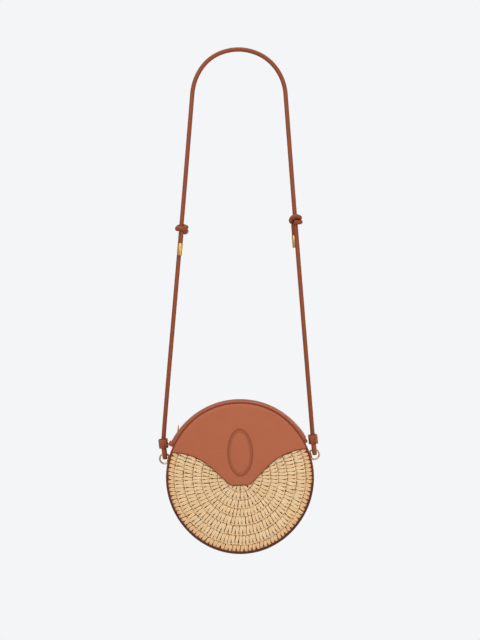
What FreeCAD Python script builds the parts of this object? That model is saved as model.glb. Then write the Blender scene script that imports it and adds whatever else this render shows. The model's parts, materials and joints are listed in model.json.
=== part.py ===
"""Round crossbody bag: raffia discs, leather yoke and gusset, zip over the top, corded strap.

Millimetres, +Z up, front towards -Y. The origin is the point that the strap hangs from.
Case pieces are drawn about the middle of the bag, and pieces that stand on the gusset are drawn
at the top of it; both are then turned about the bag's own axis and set at the end of the strap.
"""
import FreeCAD
import Part
import Sketcher
import math
import os
import re

doc = FreeCAD.newDocument("circle_bag")

# Driving sizes, in millimetres and degrees
SIZES = {
    # Case
    "rim_radius": 90,
    "bag_depth": 55,
    "piping_radius": 1.1,
    "piping_setback": 0.9,
    "layer_gap": 0.1,
    "raffia_thickness": 3,
    "raffia_overlap": 3.5,
    "yoke_thickness": 1.8,
    "lining_thickness": 0.6,
    "lining_margin": 0.45,
    "gusset_wall": 1.6,
    "seam_angle": 0.3,
    # Lower edge of the yoke: shoulders below the fold and in from the panel's edge, and a middle tip
    "shoulder_drop": 7.5,
    "shoulder_inset": 35.2,
    "shoulder_round": 56,
    "tip_reach": 12,
    "tip_drop": 9.1,
    "tip_round": 12,
    # Mouth and zip, with the fold below the zip's ends
    "fold_drop": 0.4,
    "fold_gap": 0.3,
    "zip_half_angle": 62,
    "facing_edge": 5,
    "tape_reach": 14,
    "tape_thickness": 0.6,
    "chain_reach": 3.2,
    "bead_reach": 1.8,
    "chain_slit": 0.4,
    "tooth_height": 1.8,
    "tooth_width": 1.2,
    "tooth_pitch": 2.4,
    # Slider and pull
    "slider_stop": 0.7,
    "slider_length": 10,
    "slider_reach": 4.4,
    "slider_plate": 1.2,
    "slider_gap": 0.3,
    "slider_web": 0.4,
    "bail_bore": 2.2,
    "bail_wall": 1.2,
    "bail_width": 2.2,
    "bail_floor": 0.2,
    "pull_length": 16,
    "pull_width": 6,
    "pull_thickness": 1.3,
    "pull_gap": 0.35,
    "pull_round": 2,
    "pull_lift": 22,
    # Tabs and rings, stepped round the gusset from the zip's ends
    "zip_tab_lap": 3.4,
    "zip_tab_height": 7,
    "zip_tab_thickness": 5,
    "zip_tab_width": 13,
    "zip_tab_round": 2.2,
    "ring_step": 19.1,
    "ring_radius": 6.2,
    "ring_wire": 0.9,
    "ring_gap": 0.7,
    "ring_tab_bore": 1.95,
    "ring_tab_wall": 1,
    "ring_tab_length": 6,
    "ring_tab_width": 18,
    # Strap
    "bag_drop": 524.7,
    "bag_shift": 2,
    "hang_tilt": 1.65,
    "strap_radius": 2.75,
    "strap_end_bore": 2.2,
    "strap_end_wall": 3.5,
    "strap_end_lean": 6,
    "keeper_start": 7.4,
    "keeper_height": 10.7,
    "keeper_width": 11.2,
    "keeper_wall": 1.2,
    "knot_height": 12.4,
    "knot_face": 6,
    "knot_radius": 7.4,
    "knot_belt": 5,
    "tail_radius": 2.5,
    "tail_length": 12,
    "ferrule_length": 15.5,
    "ferrule_depth": 11,
    "ferrule_wall": 0.5,
    "ferrule_fit": 0.05,
    "ferrule_chamfer": 0.8,
    "left_tail_side": 1.2,
    "left_tail_front": 5.9,
    "right_tail_side": 2.6,
    "right_tail_back": 5.4,
    # Overrun of every cut past the piece
    "cut_overrun": 10,
}

# Strap route, chosen by hand: left knot, over the hanging point, right knot (across, up)
STRAP_ROUTE = [
    (-70.9, -220.3),
    (-55.8, -34.4),
    (-35.3, -5.4),
    (0.0, 5.5),
    (35.3, -5.4),
    (57.2, -34.4),
    (70.5, -209.5),
]
ARC_RUN_SHARE = 0.45

sheet = doc.addObject("Spreadsheet::Sheet", "Sizes")
for row, (name, value) in enumerate(SIZES.items(), start=1):
    sheet.set(f"A{row}", name)
    sheet.set(f"B{row}", str(value))
    sheet.setAlias(f"B{row}", name)
doc.recompute()

# Places worked out from the driving sizes
PANEL_EDGE = "(rim_radius - 2 * piping_radius - layer_gap)"
GUSSET_INSIDE = f"({PANEL_EDGE} - gusset_wall)"
LINING_EDGE = f"({GUSSET_INSIDE} - layer_gap - lining_thickness - lining_margin)"
YOKE_BACK = "(bag_depth / 2 - yoke_thickness)"
RAFFIA_BACK = f"({YOKE_BACK} - layer_gap - raffia_thickness)"
GUSSET_FRONT = f"({RAFFIA_BACK} - layer_gap)"
GUSSET_BACK = "(bag_depth / 2 - raffia_thickness - layer_gap)"
PIPING_MIDDLE = "(rim_radius - piping_radius)"
PIPING_PLACE = "(bag_depth / 2 - piping_setback - piping_radius)"
TAPE_OUTSIDE = f"({GUSSET_INSIDE} - layer_gap)"
CHAIN_MIDDLE = f"({TAPE_OUTSIDE} - tape_thickness / 2)"
SLIDER_TOP = f"({CHAIN_MIDDLE} + tooth_height / 2 + slider_gap + slider_plate)"
SLIDER_FOOT = f"({CHAIN_MIDDLE} - tooth_height / 2 - slider_gap - slider_plate)"
PULL_PIVOT = f"({SLIDER_TOP} + bail_floor + bail_bore)"
DEGREES = "180 / pi"
FOLD_HEIGHT = f"({GUSSET_INSIDE} * cos(zip_half_angle) - fold_drop)"
SHOULDER_HEIGHT = f"({FOLD_HEIGHT} - shoulder_drop)"
SHOULDER_REACH = f"({PANEL_EDGE} - shoulder_inset)"
SLIDER_REST = f"(zip_half_angle - (slider_length / 2 + slider_stop) / {SLIDER_TOP} * {DEGREES})"
ZIP_TAB_ANGLE = f"(zip_half_angle + zip_tab_lap / {PANEL_EDGE} * {DEGREES})"
RING_ANGLE = f"({ZIP_TAB_ANGLE} + ring_step / {PANEL_EDGE} * {DEGREES})"
RING_WIRE_PLACE = f"({PANEL_EDGE} + ring_gap + ring_wire)"
RING_PLACE = f"({RING_WIRE_PLACE} + ring_radius)"


def bound(formula):
    """A formula of size names as an expression on the sheet."""
    return re.sub(r"[a-z_]+", lambda word: f"Sizes.{word[0]}" if word[0] in SIZES else word[0], formula)


def size(formula):
    """What a formula of size names comes to."""
    return float(sheet.evalExpression(bound(formula)))


def new_body(label):
    """An empty body named after its piece."""
    body = doc.addObject("PartDesign::Body", label)
    body.Label = label
    return body


def new_sketch(body, role, offset="0"):
    """A sketch on one of the body's own planes, moved along the plane's normal."""
    sketch = body.newObject("Sketcher::SketchObject", f"{body.Label}_sketch")
    plane = next(item for item in body.Origin.OriginFeatures if item.Role == role)
    sketch.AttachmentSupport = [(plane, "")]
    sketch.MapMode = "FlatFace"
    sketch.setExpression("AttachmentOffset.Base.z", bound(offset))
    return sketch


def hold_point(sketch, geometry, point, across, up):
    """Tie a sketch point to formulas for its two distances from the sketch's origin."""
    for kind, axis, formula in (("DistanceX", -2, across), ("DistanceY", -1, up)):
        if formula == "0":
            sketch.addConstraint(Sketcher.Constraint("PointOnObject", geometry, point, axis))
            continue
        constraint = Sketcher.Constraint(kind, -1, 1, geometry, point, size(formula))
        index = sketch.addConstraint(constraint)
        sketch.setExpression(f"Constraints[{index}]", bound(formula))


def outline(sketch, corners):
    """A closed outline of straight edges through corners given as formulas."""
    places = [FreeCAD.Vector(size(across), size(up), 0) for across, up in corners]
    first = sketch.GeometryCount
    count = len(corners)
    for index in range(count):
        sketch.addGeometry(Part.LineSegment(places[index], places[(index + 1) % count]))
    for index in range(count):
        following = first + (index + 1) % count
        sketch.addConstraint(Sketcher.Constraint("Coincident", first + index, 2, following, 1))
    for index, (across, up) in enumerate(corners):
        hold_point(sketch, first + index, 1, across, up)


def rectangle(sketch, left, right, bottom, top):
    """A rectangle between four formulas."""
    outline(sketch, [(left, bottom), (right, bottom), (right, top), (left, top)])


def circle(sketch, across, up, radius):
    """A circle with its centre and radius given as formulas."""
    centre = FreeCAD.Vector(size(across), size(up), 0)
    geometry = sketch.addGeometry(Part.Circle(centre, FreeCAD.Vector(0, 0, 1), size(radius)))
    hold_point(sketch, geometry, 3, across, up)
    index = sketch.addConstraint(Sketcher.Constraint("Radius", geometry, size(radius)))
    sketch.setExpression(f"Constraints[{index}]", bound(radius))


def pad(body, sketch, length, symmetric=False):
    """Thicken a sketch along its normal."""
    feature = body.newObject("PartDesign::Pad", f"{body.Label}_pad")
    feature.Profile = sketch
    feature.SideType = "Symmetric" if symmetric else "One side"
    feature.setExpression("Length", bound(length))
    return feature


def cut_through(body, sketch):
    """Cut a sketch right through the body, both ways."""
    feature = body.newObject("PartDesign::Pocket", f"{body.Label}_cut")
    feature.Profile = sketch
    feature.SideType = "Symmetric"
    feature.Type = "ThroughAll"
    return feature


def turn(body, sketch, axis, angle, symmetric=True):
    """Turn a sketch about one of its own axes."""
    feature = body.newObject("PartDesign::Revolution", f"{body.Label}_turn")
    feature.Profile = sketch
    feature.ReferenceAxis = (sketch, [axis])
    feature.Midplane = symmetric
    feature.setExpression("Angle", bound(angle))
    return feature


def round_edges(body, along, near, radius):
    """Round the body's edges that run along an axis and pass near the given points."""
    doc.recompute()
    names = []
    for index, edge in enumerate(body.Tip.Shape.Edges, start=1):
        if len(edge.Vertexes) < 2:
            continue
        run = edge.Vertexes[-1].Point - edge.Vertexes[0].Point
        middle = edge.CenterOfMass
        beside = [place for place in near if (middle - place).cross(along).Length < size("layer_gap")]
        if run.Length > 0 and run.cross(along).Length < size("layer_gap") and beside:
            names.append(f"Edge{index}")
    feature = body.newObject("PartDesign::Fillet", f"{body.Label}_round")
    feature.Base = (doc.getObject(feature.BaseFeature.Name), names)
    feature.setExpression("Radius", bound(radius))
    return feature


ALONG_Y = FreeCAD.Vector(0, 1, 0)
BAG_MIDDLE = FreeCAD.Vector(size("bag_shift"), 0, -size("bag_drop"))


def bag_turn(angle):
    """A turn about the bag's own axis, clockwise from its top as seen from the front."""
    return FreeCAD.Rotation(ALONG_Y, angle - size("hang_tilt"))


def set_on_bag(piece, angle=0.0):
    """Hang a piece that was drawn about the middle of the bag."""
    piece.Placement = FreeCAD.Placement(BAG_MIDDLE, bag_turn(angle))


def on_gusset(angle, radius):
    """The hung place of a point in the bag's middle plane."""
    return BAG_MIDDLE + bag_turn(angle).multVec(FreeCAD.Vector(0, 0, radius))


def make_disc(label, radius, back, thickness):
    """A round panel whose back lies a given distance in front of the bag's middle plane."""
    body = new_body(label)
    sketch = new_sketch(body, "XZ_Plane", back)
    circle(sketch, "0", "0", radius)
    pad(body, sketch, thickness)
    set_on_bag(body)
    return body


def trim(body, bottom, top):
    """Cut a level strip off a panel, between two heights."""
    sketch = new_sketch(body, "XZ_Plane")
    rectangle(sketch, "-rim_radius", "rim_radius", bottom, top)
    cut_through(body, sketch)


ABOVE_ALL = "rim_radius + cut_overrun"
BELOW_ALL = "-rim_radius - cut_overrun"

# Raffia panels: crocheted discs, the front one cut off under the yoke
front_raffia = make_disc("front_raffia_panel", PANEL_EDGE, RAFFIA_BACK, "raffia_thickness")
trim(front_raffia, f"{SHOULDER_HEIGHT} + raffia_overlap", ABOVE_ALL)
make_disc("back_raffia_panel", PANEL_EDGE, "-bag_depth / 2", "raffia_thickness")

# Front yoke: leather with a wavy lower edge, in two nodes that part at the fold of the mouth
front_yoke = make_disc("front_yoke", PANEL_EDGE, YOKE_BACK, "yoke_thickness")
trim(front_yoke, f"{FOLD_HEIGHT} - fold_gap", ABOVE_ALL)
wave = new_sketch(front_yoke, "XZ_Plane")
outline(wave, [
    ("-rim_radius", SHOULDER_HEIGHT),
    (f"-{SHOULDER_REACH}", SHOULDER_HEIGHT),
    ("-tip_reach", "-tip_drop"),
    ("tip_reach", "-tip_drop"),
    (SHOULDER_REACH, SHOULDER_HEIGHT),
    ("rim_radius", SHOULDER_HEIGHT),
    ("rim_radius", BELOW_ALL),
    ("-rim_radius", BELOW_ALL),
])
cut_through(front_yoke, wave)
for reach, height, radius in (
    (SHOULDER_REACH, SHOULDER_HEIGHT, "shoulder_round"),
    ("tip_reach", "-tip_drop", "tip_round"),
):
    corners = [FreeCAD.Vector(side * size(reach), 0, size(height)) for side in (-1, 1)]
    round_edges(front_yoke, ALONG_Y, corners, radius)

yoke_top = make_disc("front_yoke_top", PANEL_EDGE, YOKE_BACK, "yoke_thickness")
trim(yoke_top, BELOW_ALL, FOLD_HEIGHT)

# Lining discs: cloth behind the panels
front_lining = make_disc(
    "front_lining", LINING_EDGE, f"{GUSSET_FRONT} - lining_thickness", "lining_thickness"
)
trim(front_lining, f"{FOLD_HEIGHT} - fold_gap", ABOVE_ALL)
lining_top = make_disc(
    "front_lining_top", LINING_EDGE, f"{YOKE_BACK} - layer_gap - lining_thickness", "lining_thickness"
)
trim(lining_top, BELOW_ALL, FOLD_HEIGHT)
make_disc("back_lining", LINING_EDGE, f"-{GUSSET_BACK}", "lining_thickness")


def make_band(label, front, back, inside, outside, angle, middle=0.0):
    """A strip bent round the bag's axis, its middle at an angle from the top."""
    body = new_body(label)
    sketch = new_sketch(body, "YZ_Plane")
    rectangle(sketch, front, back, inside, outside)
    turn(body, sketch, "H_Axis", angle)
    set_on_bag(body, middle)
    return body


def make_hoop(label, place, angle, middle=0.0):
    """A piping roll bent round the rim, its middle at an angle from the top."""
    body = new_body(label)
    sketch = new_sketch(body, "YZ_Plane")
    circle(sketch, place, PIPING_MIDDLE, "piping_radius")
    turn(body, sketch, "H_Axis", angle)
    set_on_bag(body, middle)
    return body


HALF_TURN = 180.0
QUARTER_TURN = 90.0
ZIP_ANGLE = "2 * zip_half_angle"
REST_ANGLE = "360 - 2 * zip_half_angle - 2 * seam_angle"

# Gusset: a leather band and its lining from zip end to zip end, and facings beside the zip
make_band(
    "gusset_band", f"-{GUSSET_FRONT}", GUSSET_BACK, GUSSET_INSIDE, PANEL_EDGE, REST_ANGLE, HALF_TURN
)
lining_outside = f"({GUSSET_INSIDE} - layer_gap)"
make_band(
    "gusset_lining", f"-{GUSSET_FRONT}", f"{GUSSET_BACK} - lining_thickness - layer_gap",
    f"{lining_outside} - lining_thickness", lining_outside, REST_ANGLE, HALF_TURN,
)
make_band(
    "zip_facing_front", f"-{YOKE_BACK} + layer_gap", "-facing_edge", GUSSET_INSIDE, PANEL_EDGE, ZIP_ANGLE
)
make_band("zip_facing_back", "facing_edge", GUSSET_BACK, GUSSET_INSIDE, PANEL_EDGE, ZIP_ANGLE)

# Piping: a leather roll round each rim, the front one parted at the fold of the mouth
make_hoop("front_piping", f"-{PIPING_PLACE}", REST_ANGLE, HALF_TURN)
make_hoop("front_piping_top", f"-{PIPING_PLACE}", ZIP_ANGLE)
make_hoop("back_piping", PIPING_PLACE, "360")

# Zip: cloth tapes under the facings, and a row of teeth on each tape's edge.
# The front row starts past the slider, where the mouth can leave it.
SLIDER_ANGLE = math.degrees(size("slider_length") / size(SLIDER_TOP))
BACK_START = -size("zip_half_angle")
FRONT_START = -size(SLIDER_REST) + SLIDER_ANGLE / 2 + size("seam_angle")


def make_zip_half(name, side, start):
    """One tape and its teeth; side is -1 at the front and 1 at the back."""
    span = size("zip_half_angle") - start
    edges = [f"{side} * tape_reach", f"{side} * chain_reach"]
    near, far = sorted(edges, key=size)
    tape_inside = f"{TAPE_OUTSIDE} - tape_thickness"
    make_band(f"zip_tape_{name}", near, far, tape_inside, TAPE_OUTSIDE, f"{span}", start + span / 2)
    teeth = new_body(f"zip_teeth_{name}")
    bead = new_sketch(teeth, "YZ_Plane")
    near, far = sorted([f"{side} * chain_reach", f"{side} * bead_reach"], key=size)
    tooth_foot = f"{CHAIN_MIDDLE} - tooth_height / 2"
    tooth_top = f"{CHAIN_MIDDLE} + tooth_height / 2"
    rectangle(bead, near, far, tooth_foot, tooth_top)
    turn(teeth, bead, "H_Axis", f"{span}", symmetric=False)
    tooth = new_sketch(teeth, "YZ_Plane")
    near, far = sorted([f"{side} * bead_reach", f"{side} * chain_slit"], key=size)
    rectangle(tooth, near, far, tooth_foot, tooth_top)
    tooth_angle = math.degrees(size("tooth_width") / size(CHAIN_MIDDLE))
    first_tooth = turn(teeth, tooth, "H_Axis", f"{tooth_angle}", symmetric=False)
    pattern = teeth.newObject("PartDesign::PolarPattern", f"{teeth.Label}_pattern")
    pattern.Originals = [first_tooth]
    pattern.Axis = (bead, ["H_Axis"])
    pattern.Angle = span - tooth_angle
    pattern.Occurrences = int(math.radians(span) * size(CHAIN_MIDDLE) / size("tooth_pitch"))
    teeth.Tip = pattern
    set_on_bag(teeth, start)


make_zip_half("front", -1, FRONT_START)
make_zip_half("back", 1, BACK_START)

# Slider: two brass plates joined by a web between the rows of teeth, with a bail on top
slider = new_body("slider_body")
plates = new_sketch(slider, "YZ_Plane")
upper_plate = f"{SLIDER_TOP} - slider_plate"
lower_plate = f"{SLIDER_FOOT} + slider_plate"
outline(plates, [
    ("-slider_reach", SLIDER_FOOT),
    ("slider_reach", SLIDER_FOOT),
    ("slider_reach", lower_plate),
    ("slider_web / 2", lower_plate),
    ("slider_web / 2", upper_plate),
    ("slider_reach", upper_plate),
    ("slider_reach", SLIDER_TOP),
    ("-slider_reach", SLIDER_TOP),
    ("-slider_reach", upper_plate),
    ("-slider_web / 2", upper_plate),
    ("-slider_web / 2", lower_plate),
    ("-slider_reach", lower_plate),
])
turn(slider, plates, "H_Axis", f"{SLIDER_ANGLE}")
bail = new_sketch(slider, "XZ_Plane")
circle(bail, "0", PULL_PIVOT, "bail_bore + bail_wall")
circle(bail, "0", PULL_PIVOT, "bail_bore")
pad(slider, bail, "bail_width", symmetric=True)
set_on_bag(slider, -size(SLIDER_REST))

# Pull: a flat brass tab whose end bar passes through the bail
pull = new_body("slider_pull")
tab = new_sketch(pull, "XY_Plane")
rectangle(tab, "-pull_thickness / 2", "pull_length", "-pull_width / 2", "pull_width / 2")
pad(pull, tab, "pull_thickness", symmetric=True)
slot = new_sketch(pull, "XY_Plane")
slot_end = "bail_bore + bail_wall + pull_gap"
slot_side = "(bail_width / 2 + pull_gap)"
rectangle(slot, "pull_thickness / 2", slot_end, f"-{slot_side}", slot_side)
cut_through(pull, slot)
tips = [FreeCAD.Vector(size("pull_length"), side * size("pull_width") / 2, 0) for side in (-1, 1)]
round_edges(pull, FreeCAD.Vector(0, 0, 1), tips, "pull_round")
pull_place = on_gusset(-size(SLIDER_REST), size(PULL_PIVOT))
pull.Placement = FreeCAD.Placement(pull_place, bag_turn(-size(SLIDER_REST) - size("pull_lift")))

SIDES = {"left": -1, "right": 1}


def make_zip_tab(name, side):
    """Folded leather that covers one end of the zip and stands on the gusset."""
    body = new_body(f"zip_end_tab_{name}")
    sketch = new_sketch(body, "XZ_Plane")
    half = "zip_tab_thickness / 2"
    top = f"{PANEL_EDGE} + layer_gap + zip_tab_height"
    rectangle(sketch, f"-{half}", half, f"{PANEL_EDGE} + layer_gap", top)
    pad(body, sketch, "zip_tab_width", symmetric=True)
    corners = [FreeCAD.Vector(edge * size(half), 0, size(top)) for edge in (-1, 1)]
    round_edges(body, ALONG_Y, corners, "zip_tab_round")
    set_on_bag(body, side * size(ZIP_TAB_ANGLE))


def make_ring_tab(name, side):
    """A leather loop sewn flat to the gusset on both sides of the ring's wire."""
    body = new_body(f"ring_tab_{name}")
    loop = new_sketch(body, "YZ_Plane")
    circle(loop, "0", RING_WIRE_PLACE, "ring_tab_bore + ring_tab_wall")
    pad(body, loop, "ring_tab_length", symmetric=True)
    flange = new_sketch(body, "YZ_Plane")
    foot = f"{PANEL_EDGE} + layer_gap"
    rectangle(flange, "-ring_tab_width / 2", "ring_tab_width / 2", foot, f"{foot} + ring_tab_wall")
    pad(body, flange, "ring_tab_length", symmetric=True)
    bore = new_sketch(body, "YZ_Plane")
    circle(bore, "0", RING_WIRE_PLACE, "ring_tab_bore")
    cut_through(body, bore)
    under = new_sketch(body, "YZ_Plane")
    rectangle(under, "-ring_tab_width", "ring_tab_width", f"{foot} - cut_overrun", foot)
    cut_through(body, under)
    set_on_bag(body, side * size(RING_ANGLE))


def make_ring(name, side):
    """A brass ring, face on, through its tab and the strap's end."""
    ring = doc.addObject("Part::Torus", f"ring_{name}")
    ring.Label = f"ring_{name}"
    ring.setExpression("Radius1", bound("ring_radius"))
    ring.setExpression("Radius2", bound("ring_wire"))
    flat_to_front = FreeCAD.Rotation(FreeCAD.Vector(1, 0, 0), QUARTER_TURN)
    place = on_gusset(side * size(RING_ANGLE), size(RING_PLACE))
    ring.Placement = FreeCAD.Placement(place, bag_turn(0).multiply(flat_to_front))


for name, side in SIDES.items():
    make_zip_tab(name, side)
    make_ring_tab(name, side)
    make_ring(name, side)


def strap_foot(side):
    """Where the strap's end holds the ring: the top of the ring's wire, which the bag swings on."""
    ring_up = bag_turn(0).multVec(FreeCAD.Vector(0, 0, size("ring_radius")))
    return on_gusset(side * size(RING_ANGLE), size(RING_PLACE)) + ring_up


KNOTS = {
    "left": FreeCAD.Vector(STRAP_ROUTE[0][0], 0, STRAP_ROUTE[0][1]),
    "right": FreeCAD.Vector(STRAP_ROUTE[-1][0], 0, STRAP_ROUTE[-1][1]),
}
TAILS = {
    "left": FreeCAD.Vector(size("left_tail_side"), -size("left_tail_front"), 0),
    "right": FreeCAD.Vector(-size("right_tail_side"), size("right_tail_back"), 0),
}
UPRIGHT = FreeCAD.Vector(0, 0, 1)
UNTURNED = FreeCAD.Rotation()
# How far the middle of a knot lies from the leg towards its tail
KNOT_SHARE = 0.5
KEEPER_BORE = "(strap_end_bore + strap_end_wall + layer_gap)"
KEEPER_TOP = "(keeper_start + keeper_height)"


def make_strap_side(name, side):
    """One strap leg: the loop through the ring, its keeper, the cord, the knot, its tail and ferrule."""
    end_lean = FreeCAD.Rotation(ALONG_Y, -size("strap_end_lean"))
    at_foot = FreeCAD.Placement(strap_foot(side), end_lean)
    keeper_top = at_foot.multVec(UPRIGHT * size(KEEPER_TOP))
    run = KNOTS[name] - keeper_top
    lean = FreeCAD.Rotation(UPRIGHT, run)
    bend = (at_foot.multVec(UPRIGHT) - at_foot.Base).getAngle(run)
    cord_rise = size("strap_radius") * math.sin(bend) + size("layer_gap")
    to_knot = TAILS[name] * KNOT_SHARE
    to_tail = TAILS[name] - to_knot
    at_knot = FreeCAD.Placement(KNOTS[name] + lean.multVec(to_knot), lean)

    end = new_body(f"strap_end_{name}")
    fold = new_sketch(end, "YZ_Plane")
    circle(fold, "0", "0", "strap_end_bore + strap_end_wall")
    pad(end, fold, "2 * strap_radius", symmetric=True)
    legs = new_sketch(end, "YZ_Plane")
    leg_side = "(strap_end_bore + strap_end_wall)"
    rectangle(legs, f"-{leg_side}", leg_side, "0", KEEPER_TOP)
    pad(end, legs, "2 * strap_radius", symmetric=True)
    wire_room = new_sketch(end, "YZ_Plane")
    circle(wire_room, "0", "0", "strap_end_bore")
    cut_through(end, wire_room)
    between = new_sketch(end, "YZ_Plane")
    rectangle(between, "-strap_end_bore", "strap_end_bore", "0", f"{KEEPER_TOP} + cut_overrun")
    cut_through(end, between)
    end.Placement = at_foot

    keeper = new_body(f"keeper_{name}")
    sleeve = new_sketch(keeper, "XY_Plane", "keeper_start")
    keeper_side = f"({KEEPER_BORE} + keeper_wall)"
    rectangle(sleeve, "-keeper_width / 2", "keeper_width / 2", f"-{keeper_side}", keeper_side)
    pad(keeper, sleeve, "keeper_height")
    bore = new_sketch(keeper, "XY_Plane")
    bore_side = "(strap_radius + layer_gap)"
    rectangle(bore, f"-{bore_side}", bore_side, f"-{KEEPER_BORE}", KEEPER_BORE)
    cut_through(keeper, bore)
    keeper.Placement = at_foot

    cord = doc.addObject("Part::Cylinder", f"strap_{name}")
    cord.Label = f"strap_{name}"
    cord.setExpression("Radius", bound("strap_radius"))
    cord.Height = run.Length - cord_rise - size("knot_height / 2 + layer_gap")
    cord_foot = keeper_top + lean.multVec(UPRIGHT * cord_rise)
    cord.Placement = FreeCAD.Placement(cord_foot, lean)

    knot = new_body(f"knot_{name}")
    barrel = new_sketch(knot, "XZ_Plane")
    outline(barrel, [
        ("0", "-knot_height / 2"),
        ("knot_face", "-knot_height / 2"),
        ("knot_radius", "-knot_belt / 2"),
        ("knot_radius", "knot_belt / 2"),
        ("knot_face", "knot_height / 2"),
        ("0", "knot_height / 2"),
    ])
    turn(knot, barrel, "V_Axis", "360")
    knot.Placement = at_knot

    tail = doc.addObject("Part::Cylinder", f"tail_{name}")
    tail.Label = f"tail_{name}"
    tail.setExpression("Radius", bound("tail_radius"))
    tail.setExpression("Height", bound("tail_length + ferrule_depth - layer_gap"))
    tail_foot = to_tail - UPRIGHT * size("knot_height / 2 + tail_length + ferrule_depth")
    tail.Placement = at_knot.multiply(FreeCAD.Placement(tail_foot, UNTURNED))

    ferrule = new_body(f"ferrule_{name}")
    cup = new_sketch(ferrule, "XZ_Plane")
    bore_radius = "(tail_radius + ferrule_fit)"
    outside = f"({bore_radius} + ferrule_wall)"
    outline(cup, [
        ("0", "-ferrule_length"),
        (f"{outside} - ferrule_chamfer", "-ferrule_length"),
        (outside, "-ferrule_length + ferrule_chamfer"),
        (outside, "0"),
        (bore_radius, "0"),
        (bore_radius, "-ferrule_depth - ferrule_fit"),
        ("0", "-ferrule_depth - ferrule_fit"),
    ])
    turn(ferrule, cup, "V_Axis", "360")
    ferrule_top = to_tail - UPRIGHT * size("knot_height / 2 + tail_length")
    ferrule.Placement = at_knot.multiply(FreeCAD.Placement(ferrule_top, UNTURNED))


for name, side in SIDES.items():
    make_strap_side(name, side)


def make_strap_top():
    """The cord over the hanging point: straight runs joined by tangent arcs, swept with its section."""
    points = [FreeCAD.Vector(across, 0, up) for across, up in STRAP_ROUTE]
    trim_length = size("knot_height / 2 + layer_gap")
    points[0] += (points[1] - points[0]).normalize() * trim_length
    points[-1] += (points[-2] - points[-1]).normalize() * trim_length
    edges = []
    start = points[0]
    for before, corner, after in zip(points, points[1:], points[2:]):
        inward = (corner - before).normalize()
        outward = (after - corner).normalize()
        half = inward.getAngle(outward) / 2
        shorter = min((corner - before).Length, (after - corner).Length)
        reach = ARC_RUN_SHARE * shorter
        radius = reach / math.tan(half)
        print("strap arc radius", round(radius, 1))
        arc_start = corner - inward * reach
        arc_end = corner + outward * reach
        towards_centre = (outward - inward).normalize()
        arc_middle = corner + towards_centre * radius * (1 / math.cos(half) - 1)
        edges.append(Part.LineSegment(start, arc_start).toShape())
        edges.append(Part.Arc(arc_start, arc_middle, arc_end).toShape())
        start = arc_end
    edges.append(Part.LineSegment(start, points[-1]).toShape())
    path = Part.Wire(edges)
    section = Part.Wire(Part.Circle(points[0], points[1] - points[0], size("strap_radius")).toShape())
    tube = path.makePipeShell([section], True, False)
    cord = doc.addObject("Part::Feature", "strap_top")
    cord.Label = "strap_top"
    cord.Shape = tube
    cord.Placement = FreeCAD.Placement()
    expected = math.pi * size("strap_radius") ** 2 * path.Length
    print("strap top length", round(path.Length, 1))
    print("strap top volume over section times length", cord.Shape.Volume / expected)


make_strap_top()

# Every piece is checked before any file is written
doc.recompute()
failed = [item.Label for item in doc.Objects if "Invalid" in item.State or "Error" in item.State]
if failed:
    raise SystemExit(f"failed to build: {failed}")
piece_types = ("PartDesign::Body", "Part::Torus", "Part::Cylinder", "Part::Feature")
pieces = [item for item in doc.Objects if item.TypeId in piece_types]
for piece in pieces:
    if piece.Shape.isNull() or not piece.Shape.isValid() or len(piece.Shape.Solids) != 1:
        raise SystemExit(f"not one sound solid: {piece.Label}")
os.makedirs("parts", exist_ok=True)
for piece in pieces:
    piece.Shape.exportStep(f"parts/{piece.Label}.step")
print(len(pieces), "pieces written")
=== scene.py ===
import json
import math
import random

import bmesh
import bpy
from mathutils import Matrix, Vector


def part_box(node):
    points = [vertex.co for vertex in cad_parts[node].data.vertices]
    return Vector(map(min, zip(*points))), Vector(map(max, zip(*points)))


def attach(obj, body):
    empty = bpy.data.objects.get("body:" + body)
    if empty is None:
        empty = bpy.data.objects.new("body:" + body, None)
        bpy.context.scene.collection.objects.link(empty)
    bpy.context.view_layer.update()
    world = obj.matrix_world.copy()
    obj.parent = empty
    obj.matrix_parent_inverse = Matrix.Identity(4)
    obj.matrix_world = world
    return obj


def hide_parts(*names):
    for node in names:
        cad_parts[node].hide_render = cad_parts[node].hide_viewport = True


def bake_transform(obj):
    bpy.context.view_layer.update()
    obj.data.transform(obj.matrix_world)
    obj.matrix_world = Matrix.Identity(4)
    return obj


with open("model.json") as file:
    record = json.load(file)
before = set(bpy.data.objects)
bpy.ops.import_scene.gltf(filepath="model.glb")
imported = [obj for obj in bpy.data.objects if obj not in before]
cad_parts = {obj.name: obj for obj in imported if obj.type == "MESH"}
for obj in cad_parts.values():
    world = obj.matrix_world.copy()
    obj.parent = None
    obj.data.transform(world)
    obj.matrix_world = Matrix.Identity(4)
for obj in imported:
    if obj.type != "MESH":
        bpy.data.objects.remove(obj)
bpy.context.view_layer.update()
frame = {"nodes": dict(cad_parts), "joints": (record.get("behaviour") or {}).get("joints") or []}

# Hang of the case
# Case pieces are worked about the middle of the bag, front towards -Y, then hung a little askew, as the
# frame gives it. The lower half sags with its weight, and over the zip the stiff rims stand up a little.
back_low, back_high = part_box("back_raffia_panel")
bag_middle = Vector(((back_low.x + back_high.x) / 2, 0, (back_low.z + back_high.z) / 2))
panel_radius = (back_high.x - back_low.x) / 2
joints = {joint["name"]: joint for joint in frame["joints"]}
swing_axis = Vector(joints["bag_swing"]["axis"])
hang = Matrix.Translation(bag_middle) @ Matrix.Rotation(-math.atan2(swing_axis.z, swing_axis.x), 4, "Y")
bag_up = (hang.to_3x3() @ Vector((0, 0, 1))).normalized()
bag_sag = 0.0026
front_rise = 0.0020
back_rise = 0.0011
rise_start = 0.040
zip_level = 0.008
rim_level = 0.022


def ease(share):
    """A share eased at both ends."""
    share = min(1, max(0, share))
    return share * share * (3 - 2 * share)


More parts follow.
